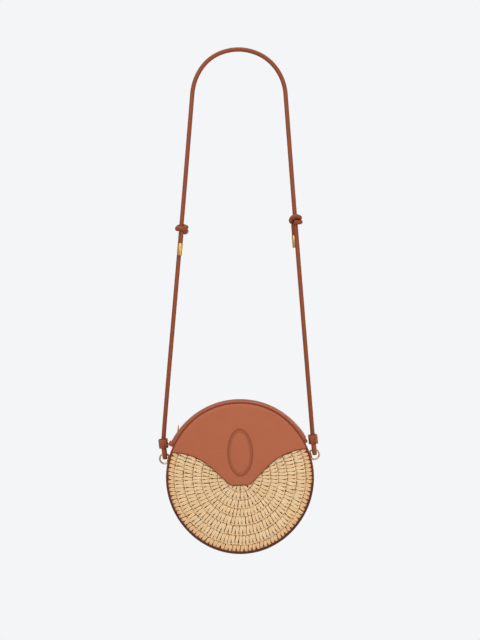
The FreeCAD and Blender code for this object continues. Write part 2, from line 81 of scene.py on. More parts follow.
def let_hang(place):
    """The height that a point of the case comes to once the bag hangs."""
    sag = bag_sag * (min(0, place.z) / panel_radius) ** 2
    rise = front_rise if place.y < 0 else back_rise
    rise *= ease((abs(place.y) - zip_level) / (rim_level - zip_level))
    rise *= ease((place.z - rise_start) / (panel_radius - rise_start))
    return place.z - sag + rise


# Lower edge of the yoke
# The leather yoke is cut with two level shoulders that sweep down to a blunt tip in the middle. The
# crochet needs the line too, because the rounds stop just under the leather.
shoulder_height = 0.0325
shoulder_reach = 0.0545
shoulder_round = 0.070
tip_reach = 0.0115
tip_drop = 0.0091
tip_round = 0.012
yoke_slope = math.atan2(shoulder_height + tip_drop, shoulder_reach - tip_reach)


def yoke_edge(across):
    """Height of the yoke's cut edge above the middle of the bag."""
    across = abs(across)
    shoulder_start = shoulder_reach + shoulder_round * math.tan(yoke_slope / 2)
    tip_end = tip_reach - tip_round * math.tan(yoke_slope / 2)
    if across >= shoulder_start:
        return shoulder_height
    if across <= tip_end:
        return -tip_drop
    if across > shoulder_start - shoulder_round * math.sin(yoke_slope):
        bow = math.sqrt(shoulder_round**2 - (across - shoulder_start) ** 2)
        return shoulder_height - shoulder_round + bow
    if across < tip_end + tip_round * math.sin(yoke_slope):
        return tip_round - tip_drop - math.sqrt(tip_round**2 - (across - tip_end) ** 2)
    return (across - tip_reach) * math.tan(yoke_slope) - tip_drop


# Raffia panels, back and front
# Discs of natural raffia crocheted in rounds from the middle: each stitch is a post of two strands with
# a loop laid across its head. A brown cotton ground behind them shows through the holes. Painted shade
# darkens each strand where it dips low towards the ground.
round_edges = (0.0006, 0.0075, 0.017, 0.027, 0.0375, 0.0468, 0.0575, 0.069, 0.0803, 0.0878)
round_twist = 40
stitch_pitch = 0.0043
rim_pitch = 0.0048
fewest_stitches = 6
stitch_drift = 0.05
stitch_lean = (-0.010, 0.022)
stitch_shift = 0.0003
stitch_girth = (0.94, 1.06)
stitch_swell = (0.85, 1.2)
stitch_shade = (0.3, 0.7)
shade_spread = 0.2
strand_radius = 0.0011
fibre_starts = 90
fibre_fineness = 2600
fibre_run = 90
rim_girth = 1.05
rim_tan = 0.6
# Height above the ground under which the strands get painted shade.
painted_shade_depth = 0.0019
panel_crown = 0.002
ground_lap = 0.001
yoke_tuck = 0.003

# A strand's points: across in pitches, out in depths of the round, up in metres, and its girth there.
post_left = (
    (-0.22, 0.02, -0.0002, 0.9), (-0.21, 0.08, 0.0018, 1.1), (-0.09, 0.45, 0.0020, 1.08),
    (0.03, 0.80, 0.0017, 1.0), (-0.12, 0.97, 0.0004, 0.85),
)
post_right = (
    (0.18, 0.02, -0.0002, 0.9), (0.21, 0.08, 0.0018, 1.1), (0.32, 0.45, 0.0021, 1.08),
    (0.26, 0.80, 0.0017, 1.0), (0.16, 0.97, 0.0004, 0.85),
)
head_loop = (
    (-0.58, 0.84, 0.0007, 0.65), (-0.25, 0.90, 0.0014, 0.8),
    (0.25, 0.90, 0.0014, 0.8), (0.58, 0.84, 0.0007, 0.65),
)


def dye(red, green, blue):
    """A colour read off the piece in daylight, as a shader wants it."""
    shares = [value / 255 for value in (red, green, blue)]
    light = [share / 12.92 if share <= 0.04045 else ((share + 0.055) / 1.055) ** 2.4 for share in shares]
    return (*light, 1.0)


def lay_node(tree, kind, inputs=(), **settings):
    """Lay one shader node with its settings, and set or feed its inputs."""
    node = tree.nodes.new(kind)
    for setting, value in settings.items():
        setattr(node, setting, value)
    for socket, value in dict(inputs).items():
        if isinstance(value, bpy.types.NodeSocket):
            tree.links.new(value, node.inputs[socket])
        else:
            node.inputs[socket].default_value = value
    return node


def worked_in(tree, name):
    """A value worked into the mesh itself, by its name."""
    return lay_node(tree, "ShaderNodeAttribute", attribute_name=name).outputs


def mottle(tree, place, scale, detail):
    """Cloudy variation over a surface, from nought to one."""
    noise = lay_node(tree, "ShaderNodeTexNoise", {"Vector": place, "Scale": scale, "Detail": detail})
    return noise.outputs["Fac"]


def blend_colours(tree, share, first, second):
    """A colour between two, by a share."""
    return lay_node(tree, "ShaderNodeMix", {0: share, 6: first, 7: second}, data_type="RGBA").outputs[2]


def between(tree, value, low, high):
    """A value from nought to one, spread between two limits."""
    limits = {"Value": value, "To Min": low, "To Max": high}
    return lay_node(tree, "ShaderNodeMapRange", limits).outputs["Result"]


def feed(tree, **sockets):
    """Feed the shader with values that change over the surface."""
    for socket, value in sockets.items():
        tree.links.new(value, tree.nodes["Principled BSDF"].inputs[socket.replace("_", " ")])


def raise_surface(tree, height, strength, distance):
    """Feed a height to the surface as relief."""
    relief = lay_node(tree, "ShaderNodeBump", {"Height": height, "Strength": strength, "Distance": distance})
    feed(tree, Normal=relief.outputs["Normal"])


def new_finish(name, **constants):
    """A material with its constant values set on the shader's own sockets, and its nodes."""
    material = bpy.data.materials.new(name)
    material.use_nodes = True
    surface = material.node_tree.nodes["Principled BSDF"].inputs
    for socket, value in constants.items():
        surface[socket.replace("_", " ")].default_value = value
    return material, material.node_tree


def make_raffia():
    """Straw that varies by strand, streaked along its fibres, tanned at the rim, and darker low in the
    crevices as painted shade.
    """
    material, tree = new_finish("raffia", Specular_IOR_Level=0.35)
    streak = mottle(tree, worked_in(tree, "straw_fibre")["Vector"], scale=1, detail=4)
    straw = blend_colours(tree, worked_in(tree, "straw_tone")["Fac"], dye(234, 198, 148), dye(246, 220, 178))
    straw = blend_colours(tree, worked_in(tree, "straw_tan")["Fac"], straw, dye(236, 190, 136))
    straw = blend_colours(tree, between(tree, streak, low=-0.4, high=0.7), straw, dye(206, 164, 112))
    # Painted shade: the low parts of the strands, down in the crevices, blend towards a shaded brown.
    straw = blend_colours(tree, worked_in(tree, "straw_painted_shade")["Fac"], straw, dye(164, 108, 52))
    feed(tree, Base_Color=straw, Roughness=between(tree, streak, low=0.45, high=0.7))
    raise_surface(tree, streak, strength=0.5, distance=0.0004)
    return material


def make_ground():
    """The brown cotton ground behind the crochet, mottled."""
    material, tree = new_finish("raffia_ground", Roughness=0.95, Specular_IOR_Level=0.1)
    place = lay_node(tree, "ShaderNodeTexCoord").outputs["Object"]
    slub = mottle(tree, place, scale=260, detail=2)
    feed(tree, Base_Color=blend_colours(tree, slub, dye(140, 86, 32), dye(226, 170, 98)))
    return material


def bring_in(name, data):
    """Bring a finished shape into the scene as an object."""
    piece = bpy.data.objects.new(name, data)
    bpy.context.scene.collection.objects.link(piece)
    return piece


def set_in_place(bm, name, body, slot, *materials, nodes=(), place=hang):
    """Hang a worked shape as a piece of its own, on the body that carries it."""
    if place is hang:
        for vert in bm.verts:
            vert.co.z = let_hang(vert.co)
    bmesh.ops.transform(bm, matrix=place, verts=bm.verts)
    mesh = bpy.data.meshes.new(name)
    bm.to_mesh(mesh)
    bm.free()
    for material in materials:
        mesh.materials.append(material)
    mesh.shade_smooth()
    piece = bring_in(name, mesh)
    if nodes:
        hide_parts(*nodes)
    if body:
        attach(piece, body)
    return piece


def crown(across, up):
    """How far a panel swells past its rim at a point."""
    return panel_crown * max(0, 1 - (across**2 + up**2) / panel_radius**2)


def draw_cord(name, routes, radius, sides, steps):
    """Cords of one thickness through routes of points, as a curve."""
    curve = bpy.data.curves.new(name, "CURVE")
    curve.dimensions = "3D"
    curve.bevel_depth = radius
    curve.bevel_resolution = sides
    curve.use_fill_caps = True
    for route in routes:
        spline = curve.splines.new("NURBS")
        spline.points.add(len(route) - 1)
        for point, place in zip(spline.points, route):
            point.co = (*place, 1)
        spline.order_u = 3
        spline.use_endpoint_u = True
        spline.resolution_u = steps
    return curve


def make_stitch(pitch, depth, strands):
    """One crochet stitch as a mesh: across, out from the middle, up from the ground."""
    routes = [[(across * pitch, out * depth, up) for across, out, up, girth in strand] for strand in strands]
    curve = draw_cord("stitch", routes, strand_radius, sides=1, steps=2)
    curve.use_fill_caps = False
    for spline, strand in zip(curve.splines, strands):
        for point, (across, out, up, girth) in zip(spline.points, strand):
            point.radius = girth
    pattern = bpy.data.objects.new("stitch", curve)
    mesh = bpy.data.meshes.new_from_object(pattern)
    bpy.data.objects.remove(pattern)
    bpy.data.curves.remove(curve)
    return mesh


def crochet(name, node, ground_depth, side, seed, hidden):
    """Crochet a disc in rounds on its ground; side is -1 at the front and 1 at the back."""
    chance = random.Random(seed)
    bm = bmesh.new()
    tone = bm.verts.layers.float.new("straw_tone")
    tan = bm.verts.layers.float.new("straw_tan")
    painted_shade = bm.verts.layers.float.new("straw_painted_shade")
    fibre = bm.verts.layers.float_vector.new("straw_fibre")
    for start, end in zip(round_edges, round_edges[1:]):
        middle = (start + end) / 2
        outermost = end == round_edges[-1]
        pitch = rim_pitch if outermost else stitch_pitch
        count = max(fewest_stitches, round(2 * math.pi * middle / pitch))
        strands = (post_left, post_right) if outermost else (post_left, post_right, head_loop)
        stitch = make_stitch(2 * math.pi * middle / count, end - start, strands)
        for index in range(count):
            drift = chance.uniform(-stitch_drift, stitch_drift)
            turn = 2 * math.pi * (index + drift) / count + middle * round_twist
            lean = chance.uniform(*stitch_lean)
            shift = chance.uniform(-stitch_shift, stitch_shift)
            girth = chance.uniform(*stitch_girth) * (rim_girth if outermost else 1)
            swell = chance.uniform(*stitch_swell)
            shade = chance.uniform(*stitch_shade)
            if hidden(middle * math.sin(turn), middle * math.cos(turn), (end - start) / 2):
                continue
            bm.from_mesh(stitch)
            bm.verts.ensure_lookup_table()
            fresh = bm.verts[-len(stitch.vertices):]
            strand_size = len(fresh) // len(strands)
            for order, vert in enumerate(fresh):
                if order % strand_size == 0:
                    strand_shade = shade + chance.uniform(-shade_spread, shade_spread)
                    strand_start = chance.uniform(0, fibre_starts)
                across, out, up = vert.co
                across *= girth
                vert[tone] = strand_shade
                vert[tan] = rim_tan if outermost else 0
                # Painted shade: the nearer a point lies to the ground, the more of the shaded brown it gets.
                vert[painted_shade] = min(1, max(0, (painted_shade_depth - up) / painted_shade_depth))
                vert[fibre] = (across * fibre_fineness + strand_start, up * fibre_fineness, out * fibre_run)
                angle = turn + across / middle + lean * (out / (end - start) - 0.5)
                radius = start + out + shift
                vert.co.x = radius * math.sin(angle)
                vert.co.z = radius * math.cos(angle)
                vert.co.y = side * (ground_depth + up * swell + crown(vert.co.x, vert.co.z))
        bpy.data.meshes.remove(stitch)
    bmesh.ops.recalc_face_normals(bm, faces=bm.faces)
    ground_place = Matrix.Translation((0, side * ground_depth, 0))
    ground = bmesh.ops.create_circle(
        bm, cap_ends=True, cap_tris=True, segments=96, radius=panel_radius + side * ground_lap,
        matrix=ground_place @ Matrix.Rotation(-side * math.pi / 2, 4, "X"),
    )
    for vert in ground["verts"]:
        for face in vert.link_faces:
            face.material_index = 1
    set_in_place(bm, name, "bag", "raffia", raffia, raffia_ground, nodes=[node])


raffia = make_raffia()
raffia_ground = make_ground()
back_ground = back_low.y
front_ground = -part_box("front_raffia_panel")[1].y
crochet("back_crochet", "back_raffia_panel", back_ground, 1, seed=7, hidden=lambda across, up, margin: False)
crochet(
    "front_crochet", "front_raffia_panel", front_ground, -1, seed=3,
    hidden=lambda across, up, margin: up - margin > yoke_edge(across) + yoke_tuck,
)


# Gusset and piping
# A leather band bent round the bottom of the case from one end of the zip to the other, a little swollen
# between its seams, with a leather roll sewn into each rim.
zip_half_angle = math.radians(62)
gusset_sweep = 2 * math.pi - 2 * zip_half_angle
gusset_wall = 0.0016
gusset_swell = 0.0007
section_steps = 12
edge_roll = 0.4
edge_roll_power = 8
rim_lip = 0.0018
lip_shade = 0.6
piping_radius = 0.0011
rim_shade_middle = 0.5
rim_shade_fade = 0.06
grain_size = 0.0007


def reckon(tree, operation, *values):
    """One sum worked over the surface."""
    return lay_node(tree, "ShaderNodeMath", dict(enumerate(values)), operation=operation).outputs[0]


def new_effect(name, inputs, outputs):
    """An empty shader node group with its named sockets."""
    group = bpy.data.node_groups.new(name, "ShaderNodeTree")
    for way, sockets in (("INPUT", inputs), ("OUTPUT", outputs)):
        for socket, kind in sockets.items():
            group.interface.new_socket(socket, in_out=way, socket_type=f"NodeSocket{kind}")
    return group


def make_grain():
    """Leather grain: pebbles, pores and cloudy dye, as colour, roughness and height."""
    group = new_effect(
        "leather_grain", {"Colour": "Color", "Deep": "Color", "Shine": "Float", "Dullness": "Float"},
        {"Colour": "Color", "Roughness": "Float", "Height": "Float"},
    )
    given = lay_node(group, "NodeGroupInput").outputs
    place = lay_node(group, "ShaderNodeTexCoord").outputs["Object"]
    cells = {"Vector": place, "Scale": 1 / grain_size}
    pebbles = lay_node(group, "ShaderNodeTexVoronoi", cells, feature="SMOOTH_F1").outputs["Distance"]
    pores = mottle(group, place, scale=3 / grain_size, detail=3)
    cloud = mottle(group, place, scale=34, detail=3)
    height = reckon(group, "SUBTRACT", pores, pebbles)
    share = between(group, reckon(group, "MULTIPLY", cloud, pebbles), low=0, high=0.7)
    colour = blend_colours(group, share, given["Colour"], given["Deep"])
    rough = between(group, cloud, given["Shine"], given["Dullness"])
    lay_node(group, "NodeGroupOutput", {"Colour": colour, "Roughness": rough, "Height": height})
    return group


def make_leather(name, colour, deep, shine, dullness, paint=None):
    """Smooth dyed leather; where a piece carries a share of the dark second colour, which is edge paint on
    some pieces and painted shade on others, it lies over the dye.
    """
    material, tree = new_finish(name, Specular_IOR_Level=0.22)
    dyes = {"Colour": colour, "Deep": deep, "Shine": shine, "Dullness": dullness}
    hide = lay_node(tree, "ShaderNodeGroup", dyes, node_tree=leather_grain).outputs
    skin = hide["Colour"]
    if paint:
        skin = blend_colours(tree, worked_in(tree, "edge_paint_and_shade")["Fac"], skin, paint)
    feed(tree, Base_Color=skin, Roughness=hide["Roughness"])
    raise_surface(tree, hide["Height"], strength=0.3, distance=0.00012)
    return material


def draw_section(bm, points):
    """A closed section of a bent strip, at the top of the bag, from depths and radii."""
    verts = [bm.verts.new((0, depth, radius)) for depth, radius in points]
    for first, second in zip(verts, verts[1:] + verts[:1]):
        bm.edges.new((first, second))


def bend_round(bm, start, sweep, steps):
    """Sweep a drawn section round the bag's own axis, from an angle right of the top."""
    whole = abs(sweep) >= 2 * math.pi
    section = bm.verts[:] + bm.edges[:]
    bmesh.ops.rotate(bm, verts=bm.verts, matrix=Matrix.Rotation(start, 3, "Y"))
    bmesh.ops.spin(bm, geom=section, axis=(0, 1, 0), angle=sweep, steps=steps, use_merge=whole)
    bmesh.ops.remove_doubles(bm, verts=bm.verts, dist=1e-6)
    bmesh.ops.holes_fill(bm, edges=[edge for edge in bm.edges if edge.is_boundary])
    bmesh.ops.recalc_face_normals(bm, faces=bm.faces)


def strip_section(front, back, wall, swell):
    """Section of a gusset strip, swollen outside and rolled over at its two edges."""
    middle, half = (front + back) / 2, (back - front) / 2
    section = []
    for step in range(section_steps + 1):
        share = 2 * step / section_steps - 1
        rolled = edge_roll * wall * abs(share) ** edge_roll_power
        section.append((middle + half * share, panel_radius + swell * (1 - share**2) - rolled))
    return section + [(back, panel_radius - wall), (front, panel_radius - wall)]


def roll_piping(node):
    """A leather roll right round one rim of the case."""
    low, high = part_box(node)
    middle = Matrix.Translation((0, (low.y + high.y) / 2, panel_radius + piping_radius))
    bm = bmesh.new()
    bmesh.ops.create_circle(
        bm, segments=12, radius=piping_radius, matrix=middle @ Matrix.Rotation(math.pi / 2, 4, "Y")
    )
    bend_round(bm, 0, 2 * math.pi, steps=240)
    return bm


def fold_with_mouth(piece):
    """Bake a soft piece's placing into its mesh."""
    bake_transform(piece)


leather_grain = make_grain()
# The tan leather's dark second colour is edge paint on the yoke's cut edge, and painted shade on the yoke's
# rim seam, on the oval's lines with their burnish, and on the gusset's lip.
tan_leather = make_leather(
    "tan_leather", dye(178, 100, 68), dye(154, 80, 50), shine=0.5, dullness=0.62, paint=dye(106, 44, 16)
)
# The rim leather's dark second colour is painted shade, laid over the lower half of the front roll.
rim_leather = make_leather(
    "rim_leather", dye(128, 51, 21), dye(104, 41, 16), shine=0.5, dullness=0.62, paint=dye(78, 40, 25)
)

gusset = bmesh.new()
gusset_low, gusset_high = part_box("gusset_band")
section = strip_section(gusset_low.y, gusset_high.y, gusset_wall, gusset_swell)
section[0] = (gusset_low.y, panel_radius)
lip = gusset_low.y - rim_lip
section[-1:] = [(lip, panel_radius - gusset_wall), (lip, panel_radius + piping_radius)]
draw_section(gusset, section)
bend_round(gusset, zip_half_angle, gusset_sweep, steps=160)
# Painted shade: the gusset's lip, tucked in front beside the piping, is painted dark as the seam's shadow.
lip_painted_shade = gusset.verts.layers.float.new("edge_paint_and_shade")
for vert in gusset.verts:
    vert[lip_painted_shade] = lip_shade if vert.co.y < gusset_low.y - rim_lip / 2 else 0
set_in_place(gusset, "gusset", "bag", "leather", tan_leather, nodes=["gusset_band"])

set_in_place(roll_piping("back_piping"), "back_rim", "bag", "leather", tan_leather, nodes=["back_piping"])
front_roll = roll_piping("front_piping")
# Painted shade: the front roll is painted darker towards the bottom of the bag, where less light falls.
rim_painted_shade = front_roll.verts.layers.float.new("edge_paint_and_shade")
for vert in front_roll.verts:
    vert[rim_painted_shade] = min(1, max(0, rim_shade_middle - vert.co.z / rim_shade_fade))
front_rim = set_in_place(
    front_roll, "front_rim", None, "leather", rim_leather, nodes=["front_piping", "front_piping_top"]
)
fold_with_mouth(front_rim)


# Lining
# Plain cotton inside the case: a disc behind each panel and a strip inside the gusset, pulled flat by the
# seams, with a few shallow slack waves. The front disc lies forward where it meets the mouth.
lining_radius = panel_radius - 0.0028
lining_sheet = 0.0005
under_gusset = panel_radius - gusset_wall - 0.0001
weave_contrast = 0.25
slack_depth = 0.0004
slack_waves = (95, 40, 70)
forward_start = 0.036
forward_run = 0.008
forward_depth = 0.003


def make_weave():
    """Plain weave: threads over and under, as a tone and a height."""
    group = new_effect("plain_weave", {"Thread": "Float"}, {"Tone": "Float", "Height": "Float"})
    given = lay_node(group, "NodeGroupInput").outputs
    place = lay_node(group, "ShaderNodeTexCoord").outputs["Object"]
    across = lay_node(group, "ShaderNodeSeparateXYZ", {0: place}).outputs
    waves = {}
    for axis in ("X", "Y", "Z"):
        waves[axis] = reckon(group, "SINE", reckon(group, "DIVIDE", across[axis], given["Thread"]))
    crossed = reckon(group, "ADD", reckon(group, "MULTIPLY", waves["X"], waves["Z"]), waves["Y"])
    slub = mottle(group, place, scale=420, detail=2)
    tone = reckon(group, "MULTIPLY_ADD", crossed, weave_contrast, slub)
    lay_node(group, "NodeGroupOutput", {"Tone": tone, "Height": crossed})
    return group


def make_cloth(name, colour, deep, thread):
    """Plain woven cloth in two tones of one dye."""
    material, tree = new_finish(name, Roughness=0.9, Specular_IOR_Level=0.2)
    weave = lay_node(tree, "ShaderNodeGroup", {"Thread": thread}, node_tree=plain_weave).outputs
    feed(tree, Base_Color=blend_colours(tree, weave["Tone"], deep, colour))
    raise_surface(tree, weave["Height"], strength=0.3, distance=0.0002)
    return material


def cut_disc(radius, cells):
    """A round cloth in the plane of the panels, meshed in squares."""
    bm = bmesh.new()
    bmesh.ops.create_grid(bm, x_segments=cells, y_segments=cells, size=1)
    for vert in bm.verts:
        across, up = vert.co.x, vert.co.y
        vert.co.x = radius * across * math.sqrt(1 - up**2 / 2)
        vert.co.z = radius * up * math.sqrt(1 - across**2 / 2)
        vert.co.y = 0
    return bm


def bend_cloth(front, back, start, sweep, steps):
    """A strip of cloth bent round under the gusset."""
    bm = bmesh.new()
    inside = under_gusset - lining_sheet
    draw_section(bm, [(front, under_gusset), (back, under_gusset), (back, inside), (front, inside)])
    bend_round(bm, start, sweep, steps)
    return bm


def thicken(piece, wall, offset):
    """Give a sheet its thickness: outside its face at 1, inside it at -1."""
    sheet = piece.modifiers.new("thickness", "SOLIDIFY")
    sheet.thickness = wall
    sheet.offset = offset


plain_weave = make_weave()
lining_cotton = make_cloth("lining_cotton", dye(196, 164, 128), dye(160, 124, 90), thread=0.00012)

for name, body, side, nodes in (
    ("back_lining_cloth", "bag", 1, ["back_lining"]),
    ("front_lining_cloth", None, -1, ["front_lining", "front_lining_top"]),
):
    low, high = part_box(nodes[0])
    disc = cut_disc(lining_radius, cells=40)
    for vert in disc.verts:
        across, up = vert.co.x, vert.co.z
        slack = math.sin(across * slack_waves[0] + up * slack_waves[1]) * math.sin(up * slack_waves[2])
        vert.co.y = (low.y + high.y) / 2 - side * abs(slack_depth * slack)
        if side < 0:
            vert.co.y -= forward_depth * ease((up - forward_start) / forward_run)
    bmesh.ops.recalc_face_normals(disc, faces=disc.faces)
    cloth = set_in_place(disc, name, body, "lining_cloth", lining_cotton, nodes=nodes)
    thicken(cloth, lining_sheet, offset=0)
    if side < 0:
        fold_with_mouth(cloth)

low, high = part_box("gusset_lining")
band = bend_cloth(low.y, high.y, zip_half_angle, gusset_sweep, steps=96)
band_cloth = set_in_place(
    band, "gusset_lining_cloth", "bag", "lining_cloth", lining_cotton, nodes=["gusset_lining"]
)


# Front yoke
# One piece of smooth tan leather over the top of the front, its cut edge creased and painted dark, pressed
# with a bare oval frame.
# Painted shade darkens the yoke's rim along its seam with the piping, and adds to the burnish on the oval's
# pressed lines.
yoke_low, yoke_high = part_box("front_yoke")
yoke_face = -yoke_low.y
yoke_thickness = yoke_high.y - yoke_low.y
yoke_radius = panel_radius + 0.0011
yoke_reach = math.sqrt(yoke_radius**2 - shoulder_height**2)
sloping_reach = (0.012, 0.05)
even_columns = 0.55
even_rows = 0.4
crease_inset = 0.0024
oval_height = 0.0303
oval_shift = 0.001
oval_half = (0.0147, 0.0277)
oval_field = (0.0121, 0.0247)
press_reach = 0.0022

# Depths that the leather is worked to, and the widths over which it comes back to its face.
cut_edge_depth, cut_edge_width = 0.0009, 0.0016
rim_depth, rim_width = 0.0014, 0.0035
crease_depth, crease_width = 0.00025, 0.0005
outer_line_depth, outer_line_width = 0.0007, 0.0009
inner_line_depth, inner_line_width = 0.00035, 0.0006
channel_depth, channel_width = 0.0002, 0.002
field_swell, field_width = 0.0004, 0.006

# Edge paint on the cut edge: how far it reaches in. Painted seam shade on the rim: its width and share. The
# oval's pressed lines and channel: shares of burnish and painted shade together.
cut_edge_paint = 0.0021
seam_shade_width, seam_shade_share = 0.0012, 0.3
outer_line_shade, inner_line_shade, channel_shade = 0.6, 0.4, 0.3


def dent(distance, width):
    """A soft groove's share of its depth at a distance from its line."""
    return math.exp(-(distance / width) ** 2)


def from_oval(across, up, half):
    """Distance outside an oval about the frame's middle, near enough along its border."""
    across -= oval_shift
    reach = math.hypot(across / half[0], (up - oval_height) / half[1])
    slope = math.hypot(across / half[0] ** 2, (up - oval_height) / half[1] ** 2) / max(reach, 1e-6)
    return (reach - 1) / max(slope, 1e-6)


def near_press(vert):
    """Whether a point lies beside one of the two lines of the oval frame."""
    lines = [abs(from_oval(vert.co.x, vert.co.z, half)) for half in (oval_half, oval_field)]
    return min(lines) < press_reach


def yoke_relief(across, up):
    """How far the leather stands back from its face: rolled edges, the crease and the pressed oval."""
    sloping = sloping_reach[0] < abs(across) < sloping_reach[1]
    from_edge = (up - yoke_edge(across)) * math.cos(yoke_slope if sloping else 0)
    from_rim = yoke_radius - math.hypot(across, up)
    outer = from_oval(across, up, oval_half)
    inner = from_oval(across, up, oval_field)
    back = cut_edge_depth * (1 - ease(from_edge / cut_edge_width))
    back += rim_depth * (1 - ease(from_rim / rim_width))
    back += crease_depth * dent(from_edge - crease_inset, crease_width)
    back += outer_line_depth * dent(outer, outer_line_width)
    back += inner_line_depth * dent(inner, inner_line_width)
    back += channel_depth * (1 - ease(outer / channel_width + 0.5))
    back -= field_swell * (1 - ease(inner / field_width + 1))
    return back


def yoke_paint_and_shade(across, up):
    """Share of dark colour on the leather: edge paint on its cut edge, painted seam shade on its rim, and
    burnish with painted shade on the oval.
    """
    outer = from_oval(across, up, oval_half)
    inner = from_oval(across, up, oval_field)
    return max(
        1 - ease((up - yoke_edge(across)) / cut_edge_paint),
        seam_shade_share - ease((yoke_radius - math.hypot(across, up)) / seam_shade_width),
        outer_line_shade * dent(outer, outer_line_width),
        inner_line_shade * dent(inner, inner_line_width),
        channel_shade if outer < 0 < inner else 0,
    )


def face_towards(bm, direction):
    """Turn the faces of an open sheet to one side."""
    bmesh.ops.recalc_face_normals(bm, faces=bm.faces)
    if sum(face.normal.dot(direction) for face in bm.faces) < 0:
        bmesh.ops.reverse_faces(bm, faces=bm.faces)


yoke = bmesh.new()
bmesh.ops.create_grid(yoke, x_segments=200, y_segments=96, size=1)
for vert in yoke.verts:
    column, row = vert.co.x, (vert.co.y + 1) / 2
    across = yoke_reach * (even_columns * column + (1 - even_columns) * math.sin(column * math.pi / 2))
    low = yoke_edge(across)
    rise = row * (even_rows + (1 - even_rows) * row)
    vert.co = (across, 0, low + (math.sqrt(yoke_radius**2 - across**2) - low) * rise)
bmesh.ops.remove_doubles(yoke, verts=yoke.verts, dist=1e-6)
pressed = [edge for edge in yoke.edges if near_press(edge.verts[0])]
bmesh.ops.subdivide_edges(yoke, edges=pressed, cuts=1, use_grid_fill=True)
edge_paint_and_shade = yoke.verts.layers.float.new("edge_paint_and_shade")
for vert in yoke.verts:
    across, up = vert.co.x, vert.co.z
    vert[edge_paint_and_shade] = yoke_paint_and_shade(across, up)
    vert.co.y = -(yoke_face + crown(across, up) - yoke_relief(across, up))
face_towards(yoke, Vector((0, -1, 0)))
yoke_leather = set_in_place(
    yoke, "yoke", None, "leather", tan_leather, nodes=["front_yoke", "front_yoke_top"]
)
thicken(yoke_leather, yoke_thickness, offset=-1)
fold_with_mouth(yoke_leather)


# Zip
# Leather facings folded back beside the opening and topstitched, cloth tapes sewn under them, and brass
# teeth crimped to the tapes' edges. The facings swell out, most of all near the ends of the zip.
facing_swell = 0.0034
facing_end_swell = 0.0034
facing_end = math.radians(2)
facing_end_share = 0.4
facing_fullness = 0.7
topstitch_inset = 0.0022
thread_pitch = 0.0034
thread_half = (0.0012, 0.0003, 0.00022)
tape_starts = {"front": -math.radians(54.7), "back": -zip_half_angle}
facing_leather = make_leather(
    "facing_leather", dye(168, 92, 61), dye(146, 74, 46), shine=0.5, dullness=0.62
)
zip_cloth = make_cloth("zip_cloth", dye(140, 84, 56), dye(104, 58, 38), thread=0.0001)
thread_finish = make_cloth("tan_thread", dye(168, 96, 66), dye(132, 70, 46), thread=0.00008)


def sized(place, size):
    """The move that brings a unit shape to its place and size."""
    return Matrix.Translation(place) @ Matrix.Diagonal((*size, 1))


def sew_round(depth, start, sweep):
    """A row of thread stitches laid round the gusset at one depth."""
    bm = bmesh.new()
    count = round(sweep * panel_radius / thread_pitch)
    for index in range(count):
        turn = Matrix.Rotation(start + sweep * (index + 0.5) / count, 4, "Y")
        place = turn @ sized((0, depth, panel_radius), thread_half)
        bmesh.ops.create_uvsphere(bm, u_segments=6, v_segments=4, radius=1, matrix=place)
    return bm


def swell_facing(bm, front, back):
    """Push what lies on a facing outwards, most in the middle of its width and near the zip's ends."""
    for vert in bm.verts:
        turn = math.atan2(vert.co.x, vert.co.z)
        along = abs(turn) / zip_half_angle
        ends = ease((zip_half_angle - abs(turn)) / facing_end + facing_end_share)
        across = (vert.co.y - (front + back) / 2) * 2 / (back - front)
        full = max(0, 1 - across**2) ** facing_fullness
        push = (facing_swell + facing_end_swell * along**2) * ends * full
        vert.co += Vector((math.sin(turn), 0, math.cos(turn))) * push


for name, body in (("front", "mouth"), ("back", "bag")):
    low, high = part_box(f"zip_facing_{name}")
    strip = bmesh.new()
    draw_section(strip, strip_section(low.y, high.y, gusset_wall, 0))
    bend_round(strip, -zip_half_angle, 2 * zip_half_angle, steps=96)
    swell_facing(strip, low.y, high.y)
    set_in_place(strip, f"zip_{name}_facing", body, "leather", facing_leather, nodes=[f"zip_facing_{name}"])
    seam = high.y - topstitch_inset if name == "front" else low.y + topstitch_inset
    sewn = sew_round(seam, -zip_half_angle, 2 * zip_half_angle)
    swell_facing(sewn, low.y, high.y)
    set_in_place(sewn, f"zip_{name}_topstitch", body, "leather", thread_finish)
    low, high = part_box(f"zip_tape_{name}")
    tape_sweep = zip_half_angle - tape_starts[name]
    strip = bend_cloth(low.y, high.y, tape_starts[name], tape_sweep, steps=80)
    tape = set_in_place(strip, f"zip_{name}_tape", body, "zip_cloth", zip_cloth, nodes=[f"zip_tape_{name}"])


def make_brass(name, bright, worn):
    """Gold-toned brass, polished, with faint rubbing marks."""
    material, tree = new_finish(name, Metallic=1.0)
    place = lay_node(tree, "ShaderNodeTexCoord").outputs["Object"]
    rub = mottle(tree, place, scale=700, detail=4)
    feed(tree, Base_Color=blend_colours(tree, rub, bright, worn), Roughness=between(tree, rub, 0.26, 0.42))
    raise_surface(tree, rub, strength=0.06, distance=0.0001)
    return material


brass = make_brass("brass", dye(214, 184, 132), dye(184, 148, 92))
for name in ("zip_teeth_front", "zip_teeth_back"):
    frame["nodes"][name].data.materials.clear()
    frame["nodes"][name].data.materials.append(brass)


